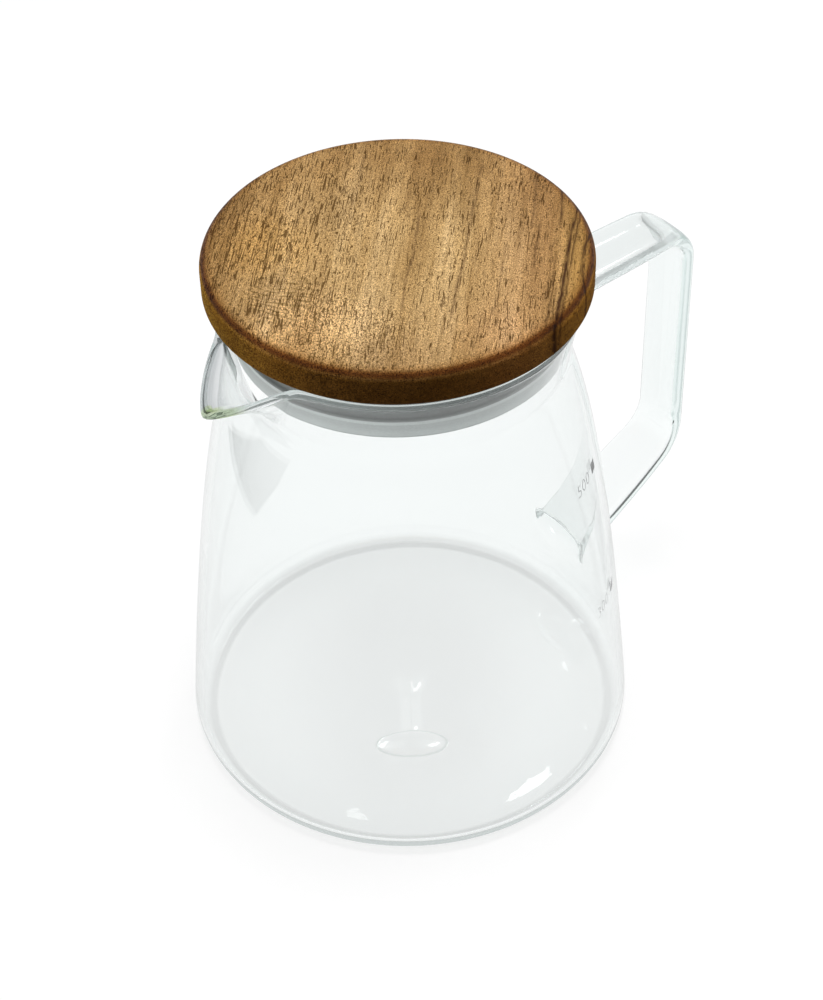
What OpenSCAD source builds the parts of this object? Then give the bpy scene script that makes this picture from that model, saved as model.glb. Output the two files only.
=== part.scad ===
// Coffee server carafe: a blown glass body with a pulled spout and a welded
// strap handle, closed by a turned wooden lid with a silicone sealing ring.
// The foot stands on z = 0 with its centre at the origin, the handle is on
// the +X side and the spout on the -X side.

/* [Glass body] */
// Widest diameter, just above the foot
base_d = 103.6; // [94:0.2:114]
// Radius of the outer corner round the foot
base_corner_r = 4; // [2.5:0.1:6]
// Diameter of the waist, the narrowest place below the rim
waist_d = 72; // [68:0.2:80]
// Height of the waist above the foot
waist_h = 106; // [96:0.5:116]
// Diameter of the rim, outside
rim_d = 77.2; // [74:0.2:82]
// Height of the neck from the waist to the top of the rim
neck_h = 15.5; // [14:0.1:20]
// Thickness of the wall
wall_t = 1.6; // [1.3:0.1:2]
// Thickness of the floor
floor_t = 2; // [1.6:0.1:3.4]
// Radius of the inner corner between wall and floor
inner_corner_r = 2.4; // [1.6:0.1:5]
// Height of the sealing mark in the middle of the floor
mark_h = 1.1; // [0.5:0.1:1.8]
// Diameter of the sealing mark
mark_d = 19; // [12:0.5:26]

/* [Spout] */
// How far the tip reaches out from the rim
spout_reach = 10.8; // [8:0.1:13]
// How far the tip lies below the rim
spout_drop = 7.2; // [4:0.1:8]
// How much thicker the lip of the spout is than the wall
lip_swell = 1.2; // [0:0.1:1.6]
// Half the angle that the spout takes up on the rim, in degrees
spout_half_angle = 18.5; // [16:0.5:24]

/* [Handle] */
// Width of the strap
strap_w = 13.2; // [10:0.1:15]
// Thickness of the strap
strap_t = 3.7; // [3:0.1:4.4]
// Distance from the axis to the outer face of the upright limb
handle_reach = 81.5; // [76:0.1:90]
// Height of the upper branch below the waist
upper_drop = 4.4; // [4:0.1:9]
// Height of the lower weld above the foot
lower_weld_h = 21; // [18:0.5:30]
// Fall of the lower branch towards the body, in degrees
lower_fall = 31; // [20:0.5:36]
// Bend radius of the upper corner, on the middle of the strap
upper_bend_r = 8; // [4:0.1:10]
// Bend radius of the lower corner, on the middle of the strap
lower_bend_r = 11; // [7:0.1:14]
// How much wider the two branches are than the limb
branch_extra_w = 2.4; // [0:0.1:4]
// How much wider again the strap is where it is welded on
weld_extra_w = 0.8; // [0:0.1:4]
// How much thicker the strap is where it is welded on
weld_extra_t = 2.4; // [1:0.1:3]
// How far the weld runs out along the strap
weld_run = 6; // [4:0.1:9]

/* [Lid] */
// Diameter of the wooden disc
lid_d = 81.2; // [79:0.2:88]
// Height of the disc at its edge
lid_edge_h = 8; // [6.5:0.1:12]
// Rise of the crown above the edge
lid_crown_h = 0.9; // [0.4:0.1:2]
// Rounding of the upper edge
lid_top_round = 2.3; // [1:0.1:3]
// Rounding of the lower edge
lid_under_round = 1.2; // [0.6:0.1:1.8]

/* [Sealing ring] */
// Thickness of the flange between the disc and the rim
flange_t = 1.9; // [1.2:0.1:2.4]
// Depth of the ring below the disc
ring_depth = 12.2; // [10:0.1:13]
// Height of the lip that meets the neck
lip_h = 4.7; // [3.6:0.1:5.4]
// How far the lip stands out from the sleeve
lip_proud = 1; // [0.6:0.1:1.4]
// Thickness of the sleeve
sleeve_t = 1.6; // [1.2:0.1:2]
// Rounding of the edges of flange and lip
seal_round = 0.5; // [0.3:0.1:0.6]
// Height of the bead that keeps the ring on the wooden plug
keeper_h = 1.6; // [1.2:0.1:2.2]
// How far that bead stands out
keeper_proud = 0.7; // [0.4:0.1:1]

/* [Hidden] */
$fn = 128;

// Clearances: lid to glass, and ring to wood
lid_gap = 0.3;
ring_gap = 0.05;

// The neck's facets wrap the blown body by this much at the waist
waist_lap = 0.08;
// How far the body's wall runs up inside the neck there
waist_tongue = 0.5;

base_r = base_d / 2;
waist_r = waist_d / 2;
rim_r = rim_d / 2;
rim_h = waist_h + neck_h;
bead_r = wall_t / 2;

// Shares that shape the curve of the body between foot and waist
belly_in_share = 0.55;
belly_up_share = 0.95;
shoulder_share = 0.065;
body_steps = 22;
arc_steps = 7;

// Powers of the neck's flare and of the spout's sweep
flare_power = 1.3;
sweep_power = 2.2;
// How soon the wall swells below the spout's lip
swell_power = 5;
// Rounding of the spout's tip and of its roots, as shares of its half width
tip_share = 0.1;
root_share = 0.14;
// Width of the channel at the waist, as a share of its width at the rim
throat_share = 0.55;
fine_span = 33;
fine_step = 1.5;
coarse_step = 6;
neck_steps = 11;
bead_steps = 5;

function mix(a, b, t) = a + (b - a) * t;

function bezier(a, b, c, d, t) =
    pow(1 - t, 3) * a + 3 * t * pow(1 - t, 2) * b + 3 * t * t * (1 - t) * c + pow(t, 3) * d;

function arc(centre, r, from, to, n) = [
    for (i = [0:n])
        let (a = mix(from, to, i / n)) centre + r * [cos(a), sin(a)]
];

// Outside of the body as [radius, height] from the foot's corner to the waist
body_rise = waist_h - base_corner_r;
body_curve = [
    for (i = [0:body_steps])
        bezier(
            [base_r, base_corner_r],
            [mix(base_r, waist_r, belly_in_share), base_corner_r + belly_up_share * body_rise],
            [waist_r, waist_h - shoulder_share * body_rise],
            [waist_r, waist_h],
            i / body_steps)
];
body_table = [for (p = body_curve) [p[1], p[0]]];
function body_r(z) = lookup(z, body_table);

// Outside of the neck, where t runs from 0 at the waist to 1 at the rim
function neck_r(t) = mix(waist_r, rim_r, pow(max(t, 0), flare_power));
function bore_r(z) = neck_r((z - waist_h) / neck_h) - wall_t - waist_lap;

foot_corner = arc([base_r - base_corner_r, base_corner_r], base_corner_r, -90, 0, arc_steps);
inner_base_r = body_r(floor_t + inner_corner_r) - wall_t;
inner_corner = arc([inner_base_r - inner_corner_r, floor_t + inner_corner_r],
    inner_corner_r, 0, -90, arc_steps);
mark_rise = [
    for (i = [arc_steps:-1:0])
        let (u = i / arc_steps) [u * mark_d / 2, floor_t + mark_h * (1 + cos(180 * u)) / 2]
];

module glass_body() {
    color([0.9, 0.95, 0.93, 0.5])
    union() {
        body_shell();
        neck_band();
    }
}

// The blown wall and floor, up to the waist
module body_shell() {
    outside = [for (p = body_curve) if (p[1] > base_corner_r) p];
    inside = [
        for (i = [body_steps:-1:0])
            if (body_curve[i][1] > floor_t + inner_corner_r) body_curve[i] - [wall_t, 0]
    ];
    rotate_extrude()
    polygon(concat(
        [[0, 0]], foot_corner, outside,
        [[waist_r, waist_h + waist_tongue], [waist_r - wall_t, waist_h + waist_tongue]],
        inside, inner_corner, mark_rise));
}

// Everything inside the outer surface of the body, for cutting the welds
module body_block() {
    rotate_extrude()
    polygon(concat(
        [[0, 0]], foot_corner, [for (p = body_curve) if (p[1] > base_corner_r) p], [[0, waist_h]]));
}

// Share of the full pull at x half widths from the middle of the spout
function vee_raw(x) =
    let (u = 1 - sqrt(x * x + tip_share * tip_share)) (u + sqrt(u * u + root_share * root_share)) / 2;
function vee(x) = vee_raw(x) / vee_raw(0);

function pull(a, t) =
    spout_reach * pow(max(t, 0), sweep_power)
    * vee(a / (spout_half_angle * mix(throat_share, 1, max(t, 0))));

// How far each side of the wall swells into the thick lip of the spout
function swell(a, t) = lip_swell / 2 * pow(max(t, 0), swell_power) * vee(a / spout_half_angle);

// Height of the rim's top at angle a from the middle of the spout
function edge_h(a) = rim_h - bead_r - spout_drop * vee(a / spout_half_angle);

// One section of the neck's wall: up the outside, over the bead, down the inside
function neck_section(a) = concat(
    [for (i = [0:neck_steps]) let (t = i / neck_steps)
        [neck_r(t) + waist_lap + pull(a, t) + swell(a, t), mix(waist_h, edge_h(a), t)]],
    [for (i = [1:bead_steps - 1]) let (b = 180 * i / bead_steps)
        [rim_r + pull(a, 1) - bead_r + (bead_r + waist_lap + swell(a, 1)) * cos(b),
            edge_h(a) + (bead_r + swell(a, 1)) * sin(b)]],
    [for (i = [neck_steps:-1:0]) let (t = i / neck_steps)
        [neck_r(t) - wall_t - waist_lap + pull(a, t) - swell(a, t), mix(waist_h, edge_h(a), t)]]);

// Closed skin through equal rings of points, the last ring joined to the first
module ring_loop(rings) {
    n = len(rings);
    m = len(rings[0]);
    faces = [
        for (i = [0:n - 1], j = [0:m - 1])
            let (
                a = i * m + j,
                b = i * m + (j + 1) % m,
                c = (i + 1) % n * m + (j + 1) % m,
                d = (i + 1) % n * m + j)
            each [[a, b, c], [a, c, d]]
    ];
    polyhedron([for (ring = rings) each ring], faces);
}

// The neck and rim, drawn out on the -X side into the spout
module neck_band() {
    angles = concat(
        [for (a = [-fine_span:fine_step:fine_span]) a],
        [for (a = [fine_span + coarse_step:coarse_step:360 - fine_span - coarse_step / 2]) a]);
    ring_loop([
        for (a = angles)
            [for (p = neck_section(a)) [-p[0] * cos(a), -p[0] * sin(a), p[1]]]
    ]);
}

// Middle line of the handle, from inside the neck round to inside the body
limb_x = handle_reach - strap_t / 2;
upper_h = waist_h - upper_drop;
upper_weld = [body_r(upper_h), upper_h];
lower_weld = [body_r(lower_weld_h), lower_weld_h];
lower_corner = [limb_x, lower_weld_h + (limb_x - lower_weld[0]) * tan(lower_fall)];
weld_depth = wall_t * 2;
branch_steps = 9;
bend_steps = 9;
strap_sides = 24;
// Squareness of the strap's section: 2 is an ellipse
strap_power = 3;
// How soon a branch narrows towards the limb
branch_power = 3;

upper_start = upper_weld - [weld_depth, 0];
lower_end = lower_weld - weld_depth * [cos(lower_fall), sin(lower_fall)];
upper_bend_start = [limb_x - upper_bend_r, upper_h];
lower_turn = 90 - lower_fall;
lower_bend_h = lower_corner[1] + lower_bend_r * tan(lower_turn / 2);
lower_bend = arc([limb_x - lower_bend_r, lower_bend_h], lower_bend_r, 0, -lower_turn, bend_steps);
strap_line = concat(
    [for (i = [0:branch_steps - 1]) mix(upper_start, upper_bend_start, i / branch_steps)],
    arc([limb_x - upper_bend_r, upper_h - upper_bend_r], upper_bend_r, 90, 0, bend_steps),
    lower_bend,
    [for (i = [1:branch_steps]) mix(lower_bend[bend_steps], lower_end, i / branch_steps)]);

function unit(v) = v / norm(v);
function spread(v, p) = sign(v) * pow(abs(v), p);

function near_weld(p) = p[1] > upper_h / 2 ? upper_weld : lower_weld;

// Share of the weld's extra size at point p: 1 in the wall, 0 out on the strap
function weld_share(p) =
    let (run = p[0] > near_weld(p)[0] ? norm(p - near_weld(p)) : 0)
    exp(-pow(run / weld_run, 2));

// Share of a branch's extra width at point p: 1 at the weld, 0 on the limb
function branch_share(p) =
    let (s = (limb_x - p[0]) / (limb_x - near_weld(p)[0]))
    1 - pow(1 - min(s, 1), branch_power);

function strap_ring(i) =
    let (
        p = strap_line[i],
        last = len(strap_line) - 1,
        along = unit(strap_line[min(i + 1, last)] - strap_line[max(i - 1, 0)]),
        across = [-along[1], along[0]],
        w = strap_w + branch_extra_w * branch_share(p) + weld_extra_w * weld_share(p),
        t = strap_t + weld_extra_t * weld_share(p))
    [
        for (k = [0:strap_sides - 1])
            let (
                a = 360 * k / strap_sides,
                q = p + across * spread(sin(a), 2 / strap_power) * t / 2)
            [q[0], spread(cos(a), 2 / strap_power) * w / 2, q[1]]
    ];

// Closed skin through the rings of a strap, with flat ends
module ring_sweep(rings) {
    n = len(rings);
    m = len(rings[0]);
    sides = [
        for (i = [0:n - 2], j = [0:m - 1])
            let (
                a = i * m + j,
                b = i * m + (j + 1) % m,
                c = (i + 1) * m + (j + 1) % m,
                d = (i + 1) * m + j)
            each [[a, c, b], [a, d, c]]
    ];
    first = [for (j = [0:m - 1]) j];
    end = [for (j = [m - 1:-1:0]) (n - 1) * m + j];
    polyhedron([for (ring = rings) each ring], concat(sides, [first, end]));
}

// The strap handle, cut where its two ends are welded to the body
module glass_handle() {
    color([0.88, 0.94, 0.92, 0.6])
    difference() {
        ring_sweep([for (i = [0:len(strap_line) - 1]) strap_ring(i)]);
        body_block();
    }
}

// Heights and radii of the lid, set from the rim and the bore of the neck
disc_under = rim_h + lid_gap + flange_t;
ring_foot = disc_under - ring_depth;
lid_r = lid_d / 2;
lip_r = bore_r(ring_foot) - lid_gap;
sleeve_r = lip_r - lip_proud;
ring_bore_r = sleeve_r - sleeve_t;
flange_r = rim_r - seal_round;
plug_r = ring_bore_r - ring_gap;
keeper_r = plug_r + keeper_proud;
keeper_top = ring_foot + ring_gap + keeper_h;
crown_steps = 8;
crown_r = lid_r - lid_top_round;

module lid_disc() {
    edge_top = disc_under + lid_edge_h;
    crown = [
        for (i = [1:crown_steps])
            let (u = i / crown_steps) [crown_r * (1 - u), edge_top + lid_crown_h * (1 - pow(1 - u, 2))]
    ];
    color([0.55, 0.37, 0.22])
    rotate_extrude()
    polygon(concat(
        [[0, ring_foot + ring_gap], [keeper_r, ring_foot + ring_gap], [keeper_r, keeper_top],
            [plug_r, keeper_top + keeper_proud], [plug_r, disc_under]],
        arc([lid_r - lid_under_round, disc_under + lid_under_round], lid_under_round, -90, 0, arc_steps),
        arc([crown_r, edge_top - lid_top_round], lid_top_round, 0, 90, arc_steps),
        crown));
}

module seal_ring() {
    flange_foot = disc_under - flange_t;
    lip_top = ring_foot + lip_h;
    color([0.86, 0.88, 0.88, 0.9])
    rotate_extrude()
    polygon(concat(
        [[keeper_r + ring_gap, ring_foot]],
        arc([lip_r - seal_round, ring_foot + seal_round], seal_round, -90, 0, arc_steps),
        arc([lip_r - seal_round, lip_top - seal_round], seal_round, 0, 90, arc_steps),
        [[sleeve_r, lip_top], [sleeve_r, flange_foot]],
        arc([flange_r - seal_round, flange_foot + seal_round], seal_round, -90, 0, arc_steps),
        [[flange_r, disc_under], [ring_bore_r, disc_under],
            [ring_bore_r, keeper_top + keeper_proud + ring_gap],
            [keeper_r + ring_gap, keeper_top + ring_gap]]));
}

glass_body();
glass_handle();
lid_disc();
seal_ring();
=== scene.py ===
# %% [markdown]
# A coffee server in Blender
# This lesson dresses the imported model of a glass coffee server. The real one has a
# blown glass body with a pulled spout, a glass strap welded on as a handle, and a
# turned wooden lid that sits in the neck on a silicone ring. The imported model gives
# the frame: every piece below is made in metres, where the frame's part already is.

# %% Load the frame
import math

import bmesh
import bpy
from mathutils import Matrix, Vector


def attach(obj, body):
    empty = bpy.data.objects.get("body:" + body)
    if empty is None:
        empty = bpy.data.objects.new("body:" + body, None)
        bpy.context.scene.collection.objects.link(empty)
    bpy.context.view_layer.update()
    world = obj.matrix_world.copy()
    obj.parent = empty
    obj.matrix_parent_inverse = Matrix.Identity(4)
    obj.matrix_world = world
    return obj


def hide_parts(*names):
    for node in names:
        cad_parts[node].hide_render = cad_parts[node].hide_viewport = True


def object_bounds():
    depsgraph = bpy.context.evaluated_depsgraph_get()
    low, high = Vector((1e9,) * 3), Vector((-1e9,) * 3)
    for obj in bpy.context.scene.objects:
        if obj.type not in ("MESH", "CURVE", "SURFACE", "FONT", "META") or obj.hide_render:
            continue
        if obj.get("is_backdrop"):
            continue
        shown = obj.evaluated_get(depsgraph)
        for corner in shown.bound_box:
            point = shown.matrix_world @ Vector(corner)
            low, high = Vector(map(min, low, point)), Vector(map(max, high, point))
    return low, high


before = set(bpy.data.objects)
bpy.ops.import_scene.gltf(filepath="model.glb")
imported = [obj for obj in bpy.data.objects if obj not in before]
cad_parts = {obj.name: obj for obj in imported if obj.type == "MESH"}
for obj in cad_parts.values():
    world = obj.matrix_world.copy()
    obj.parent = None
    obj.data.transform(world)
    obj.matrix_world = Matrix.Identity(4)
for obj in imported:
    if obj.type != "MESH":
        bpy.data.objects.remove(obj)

cad_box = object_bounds()
print("nodes:", sorted(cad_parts))

# %% [markdown]
# A maker works in millimetres and Blender in metres, so one constant turns the one
# into the other. The values are the part's own, so that each surface made here lies
# on the solid that it stands for. Two places differ a little, as on the real server:
# the drop on the floor lies off the middle, and the spout's lip is thicker at its sides.

# %% Sizes of the glass, in millimetres
MM = 0.001
base_r, base_corner_r = 51.8, 4.0
waist_r, waist_h = 36.0, 106.0
rim_r, rim_h = 38.6, 121.5
neck_flare = 1.3
wall_t, floor_t, inner_corner_r = 1.6, 2.0, 2.4
bead_r = wall_t / 2
spout_reach, spout_drop, spout_half, lip_swell = 10.8, 7.2, 18.5, 1.2
drop_off, drop_way = 20.3, math.radians(232.8)
drop_half_w, drop_half_l, drop_h = 8.2, 3.9, 0.8


def mix(a, b, t):
    return a + (b - a) * t


# %% [markdown]
# The camera comes before the pieces, because every later choice is judged through it.
# The lens was worked out from the circles of the lid, the seal and the foot: a focal
# length of 2.3 times the sensor's long side, about half a metre from the carafe.

# %% Camera
sensor_w, cam_place = 36.0, Vector((-229.07, -301.06, 414.2)) * MM
cam_azimuth, cam_elevation, cam_roll = (math.radians(a) for a in (-37.5, 43.024, -1.556))
cam_data = bpy.data.cameras.new("view_camera")
cam_data.sensor_width, cam_data.lens = sensor_w, sensor_w * 2.3
cam_data.clip_start = 0.01
camera = bpy.data.objects.new("view_camera", cam_data)
bpy.context.scene.collection.objects.link(camera)
bpy.context.scene.camera = camera

cam_back = Vector((
    math.sin(cam_azimuth) * math.cos(cam_elevation),
    -math.cos(cam_azimuth) * math.cos(cam_elevation),
    math.sin(cam_elevation)))
turn = (-cam_back).to_track_quat("-Z", "Y").to_matrix() @ Matrix.Rotation(cam_roll, 3, "Z")
camera.matrix_world = Matrix.Translation(cam_place) @ turn.to_4x4()
print("camera at", tuple(round(v, 4) for v in camera.location))

# %% [markdown]
# Three small helpers keep the cells short. One turns a bmesh into a finished object,
# smooth shaded, and hangs it on the body that it moves with. One spins a profile round
# the axis, the way a lathe or a glass blower's pipe does. The last one draws an arc.


# %% Helpers for making pieces
def finish_piece(bm, name, body=None, slot=None, *nodes):
    bmesh.ops.remove_doubles(bm, verts=bm.verts, dist=0.002 * MM)
    bmesh.ops.recalc_face_normals(bm, faces=bm.faces)
    mesh = bpy.data.meshes.new(name)
    bm.to_mesh(mesh)
    bm.free()
    mesh.polygons.foreach_set("use_smooth", [True] * len(mesh.polygons))
    piece = bpy.data.objects.new(name, mesh)
    bpy.context.scene.collection.objects.link(piece)
    if body:
        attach(piece, body)
    if nodes:
        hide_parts(*nodes)
    print(name, len(mesh.vertices), "vertices", len(mesh.polygons), "faces")
    return piece


def spin_profile(profile, steps, closed=False):
    """Turn (radius, height) points in millimetres once round the z axis."""
    bm = bmesh.new()
    points = [bm.verts.new((r * MM, 0, z * MM)) for r, z in profile]
    ends = points[1:] + points[:1] if closed else points[1:]
    lines = [bm.edges.new(pair) for pair in zip(points, ends)]
    bmesh.ops.spin(
        bm, geom=points + lines, cent=(0, 0, 0), axis=(0, 0, 1), angle=math.tau,
        steps=steps, use_merge=True)
    bmesh.ops.remove_doubles(bm, verts=bm.verts, dist=0.002 * MM)
    return bm


def arc(cx, cz, r, start, end, n):
    angles = [math.radians(mix(start, end, i / n)) for i in range(n + 1)]
    return [(cx + r * math.cos(a), cz + r * math.sin(a)) for a in angles]


# %% [markdown]
# The body of a real server is blown into a turning mould, so it is round up to its
# neck. Its outside is one smooth curve from the corner of the foot to the waist, and
# a Bezier curve with four points describes it. The same curve, moved in by the wall,
# gives the inside.


# %% The curve of the body
def body_point(t):
    """A point of the outside, from the foot's corner at t = 0 to the waist at t = 1."""
    belly_in, belly_up, waist_down = 0.55, 0.95, 0.065
    rise = waist_h - base_corner_r
    handles = [
        (base_r, base_corner_r),
        (mix(base_r, waist_r, belly_in), base_corner_r + belly_up * rise),
        (waist_r, waist_h - waist_down * rise),
        (waist_r, waist_h)]
    weights = [(1 - t) ** 3, 3 * t * (1 - t) ** 2, 3 * t * t * (1 - t), t ** 3]
    return tuple(sum(w * h[k] for w, h in zip(weights, handles)) for k in (0, 1))


body_curve = [body_point(i / 64) for i in range(65)]


def body_radius(z):
    for (r0, z0), (r1, z1) in zip(body_curve, body_curve[1:]):
        if z0 <= z <= z1:
            return mix(r0, r1, (z - z0) / (z1 - z0))
    return body_curve[0][0] if z < base_corner_r else body_curve[-1][0]


print("radius at 20, 60 and 100 mm:", [round(body_radius(z), 2) for z in (20, 60, 100)])

# %% [markdown]
# Glass needs a closed skin with an inside and an outside, because light bends where it
# goes in and again where it comes out. So the profile runs all the way round the wall:
# under the foot, up the outside, over the fire-polished rim, down the inside and across
# the floor to its middle. There the rings lie close together, because the low drop
# where the gather was sealed is raised out of them later.


# %% The closed profile of the body
def neck_radius(t):
    return mix(waist_r, rim_r, max(t, 0) ** neck_flare)


rim_mid, inner_corner_h = rim_h - bead_r, floor_t + inner_corner_r
corner_x = body_radius(inner_corner_h) - wall_t - inner_corner_r
neck_turns = 18
neck = [(neck_radius(i / neck_turns), mix(waist_h, rim_mid, i / neck_turns))
        for i in range(1, neck_turns + 1)]
foot = [(0, 0), (30, 0), (base_r - base_corner_r, 0)]
foot += arc(base_r - base_corner_r, base_corner_r, base_corner_r, -90, 0, 10)[1:-1]
bead = arc(rim_r - bead_r, rim_mid, bead_r, 0, 180, 10)[1:-1]
inside = [(r - wall_t, z) for r, z in reversed(neck)]
inside += [(r - wall_t, z) for r, z in reversed(body_curve) if z > inner_corner_h]
inside += arc(corner_x, inner_corner_h, inner_corner_r, 0, -90, 12)
floor_rings = [(r, floor_t) for r in (44, 40, 34, 29, 27)]
close_rings, ring_gap = 72, 0.35
floor_rings += [(ring_gap * (close_rings - i), floor_t) for i in range(close_rings + 1)]
vessel_profile = foot + body_curve + neck + bead + inside + floor_rings
print("profile points:", len(vessel_profile))

# %% [markdown]
# The spout is the maker's hand work: the soft rim is pushed out and down with a rod
# while the glass still glows. The code does the same to the spun body. It moves each
# point of the neck outwards and down by a share that is whole in the middle of the
# spout and fades with a soft V to both sides, and more so near the rim. The lip swells
# a little too, because glass that is pulled hot gathers at its edge, and so it does on
# both flanks of the spout.


# %% Pulling the spout
def vee(x):
    """A soft V upside down: 1 at 0, and next to nothing from 1 on."""
    def raw(v):
        u = 1 - math.sqrt(v * v + 0.1 ** 2)
        return (u + math.sqrt(u * u + 0.14 ** 2)) / 2
    return raw(x) / raw(0)


def pull_spout(bm):
    reach_power, swell_power, narrow = 2.2, 3, 0.55
    for v in bm.verts:
        t = (v.co.z / MM - waist_h) / (rim_mid - waist_h)
        if t <= 0:
            continue
        t = min(t, 1.0)
        off = math.degrees(math.atan2(v.co.y, -v.co.x))
        radius = math.hypot(v.co.x, v.co.y) / MM
        middle = neck_radius(t) - bead_r
        pulled = vee(off / spout_half)
        flanks = pulled ** 0.5 * (2 - pulled)
        fat = 1 + lip_swell / 2 * t ** swell_power * flanks / bead_r
        reach = spout_reach * t ** reach_power * vee(off / (spout_half * mix(narrow, 1, t)))
        grown = (middle + (radius - middle) * fat + reach) / radius
        top = max(v.co.z / MM - rim_mid, 0) * (fat - 1)
        v.co.x *= grown
        v.co.y *= grown
        v.co.z += (top - spout_drop * pulled * t) * MM


# %% [markdown]
# Where the hot gather was sealed, the floor keeps an oval drop, a little nub in the
# middle and a faint ridge between them. The points of the floor are raised into them.


# %% Raising the drop
def raise_seal(bm):
    nub_h, nub_r, ridge_h, ridge_w = 0.45, 2.2, 0.22, 1.5
    for v in bm.verts:
        x, y, z = v.co / MM
        if abs(z - floor_t) > 0.1 or math.hypot(x, y) > 32:
            continue
        along = x * math.cos(drop_way) + y * math.sin(drop_way)
        aside = -x * math.sin(drop_way) + y * math.cos(drop_way)
        drop = 1 - (aside / drop_half_w) ** 2 - ((along - drop_off) / drop_half_l) ** 2
        ends = min(max((along + 1.5) / 3, 0), 1) * min(max((drop_off - along) / 5, 0), 1)
        ridge = ridge_h * math.exp(-(aside / ridge_w) ** 2) * ends * ends
        nub = nub_h * math.exp(-(x * x + y * y) / nub_r ** 2)
        v.co.z += (drop_h * max(drop, 0) ** 0.6 + ridge + nub) * MM


vessel = spin_profile(vessel_profile, 320)
pull_spout(vessel)
raise_seal(vessel)
print("vessel faces:", len(vessel.faces))

# %% [markdown]
# The handle is a flat strap of glass, drawn out and bent while hot. In Blender it is
# one ring of points, extruded station by station along a path: each new ring is
# carried on, turned to face along the path, and made wider or thicker. Its stations
# lie closer together towards both welds, where the soft glass spreads on the wall.

# %% The line and the sizes of the strap
strap_w, strap_t, handle_reach = 13.2, 3.7, 81.5
upper_h, lower_h, lower_fall = 101.6, 21.0, math.radians(31)
upper_bend_r, lower_bend_r = 8.0, 11.0
branch_extra_w, weld_extra_w, weld_extra_t, weld_run = 2.4, 0.8, 2.4, 6
fillet_t, fillet_run = 1.3, 0.9
limb_x = handle_reach - strap_t / 2
upper_weld = Vector((body_radius(upper_h), upper_h))
lower_weld = Vector((body_radius(lower_h), lower_h))
lower_corner_h = lower_h + (limb_x - lower_weld.x) * math.tan(lower_fall)
lower_turn = 90 - math.degrees(lower_fall)
lower_bend_h = lower_corner_h + lower_bend_r * math.tan(math.radians(lower_turn / 2))
lower_way = Vector((math.cos(lower_fall), math.sin(lower_fall)))
near_first = (0, 0.02, 0.05, 0.09, 0.14, 0.2, 0.27, 0.35, 0.44, 0.54, 0.65, 0.76, 0.88)

upper_bend = [Vector(p) for p in arc(
    limb_x - upper_bend_r, upper_h - upper_bend_r, upper_bend_r, 90, 0, 12)]
lower_bend = [Vector(p) for p in arc(
    limb_x - lower_bend_r, lower_bend_h, lower_bend_r, 0, -lower_turn, 14)]
strap_line = [upper_weld - Vector((bead_r, 0))]
strap_line += [upper_weld.lerp(upper_bend[0], s) for s in near_first]
strap_line += upper_bend
strap_line += [upper_bend[-1].lerp(lower_bend[0], s) for s in (0.15, 0.32, 0.5, 0.68, 0.85)]
strap_line += lower_bend
strap_line += [lower_weld.lerp(lower_bend[-1], s) for s in reversed(near_first)]
strap_line += [lower_weld - bead_r * lower_way]
print("stations along the strap:", len(strap_line))

# %% [markdown]
# The strap widens along both branches, and grows wider and thicker again where it is
# welded on. The last millimetre runs out into the wall as a small fillet.


# %% Width and thickness at a station
def station_size(p):
    """Half the width and half the thickness, in millimetres."""
    weld = upper_weld if p.y > upper_h / 2 else lower_weld
    run = (p - weld).length if p.x > weld.x else 0
    spread = math.exp(-(run / weld_run) ** 2)
    fillet = fillet_t * math.exp(-run / fillet_run)
    side = min((limb_x - p.x) / (limb_x - weld.x), 1)
    branch = branch_extra_w * (1 - (1 - side) ** 3)
    width = strap_w + branch + weld_extra_w * spread + fillet
    return width / 2, (strap_t + weld_extra_t * spread + fillet) / 2


def across_at(i):
    """The way across the strap at a station: at a right angle to its line."""
    before = strap_line[max(i - 1, 0)]
    after = strap_line[min(i + 1, len(strap_line) - 1)]
    along = (after - before).normalized()
    return Vector((-along.y, along.x))


# %% Extruding the strap
def squared(part, power=3):
    """One coordinate of a point on the unit circle, moved towards a square's side."""
    return math.copysign(abs(part) ** (2 / power), part)


strap = bmesh.new()
ring = bmesh.ops.create_circle(strap, segments=48, radius=1)["verts"]
for v in ring:
    v.co = (0, squared(v.co.x), squared(v.co.y))
strap_rings = [ring]
ring_edges = strap.edges[:]
first_cap = ring_edges[:]
half_w, half_t, unit = 1.0, 1.0, 1
place, across = Vector((0, 0)), Vector((0, 1))
for i, p in enumerate(strap_line):
    if i:
        made = bmesh.ops.extrude_edge_only(strap, edges=ring_edges)["geom"]
        ring = [g for g in made if isinstance(g, bmesh.types.BMVert)]
        new_points = set(ring)
        ring_edges = [g for g in made if isinstance(g, bmesh.types.BMEdge)
                      and g.verts[0] in new_points and g.verts[1] in new_points]
        strap_rings.append(ring)
    new_across, (new_w, new_t) = across_at(i), station_size(p)
    for v in ring:
        up = (Vector((v.co.x, v.co.z)) / unit - place).dot(across) / half_t
        out = v.co.y / unit / half_w
        spot = p + new_across * up * new_t
        v.co = Vector((spot.x, out * new_w, spot.y)) * MM
    place, across, half_w, half_t, unit = p, new_across, new_w, new_t, MM
print("rings:", len(strap_rings))


# %% [markdown]
# Both ends have to lie inside the wall all over, so that the weld leaves no gap. Each
# point of the two end rings is slid along the strap until it lies in the middle of the
# curved wall, and then a face closes each end.


# %% Seating the ends in the wall
def seat(ring, way):
    for v in ring:
        for _ in range(12):
            gap = body_radius(v.co.z / MM) - bead_r - math.hypot(v.co.x, v.co.y) / MM
            v.co += Vector((way.x, 0, way.y)) * gap * MM


seat(strap_rings[0], Vector((1, 0)))
seat(strap_rings[-1], lower_way)
bmesh.ops.contextual_create(strap, geom=first_cap)
bmesh.ops.contextual_create(strap, geom=ring_edges)
bmesh.ops.recalc_face_normals(strap, faces=strap.faces)

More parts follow.
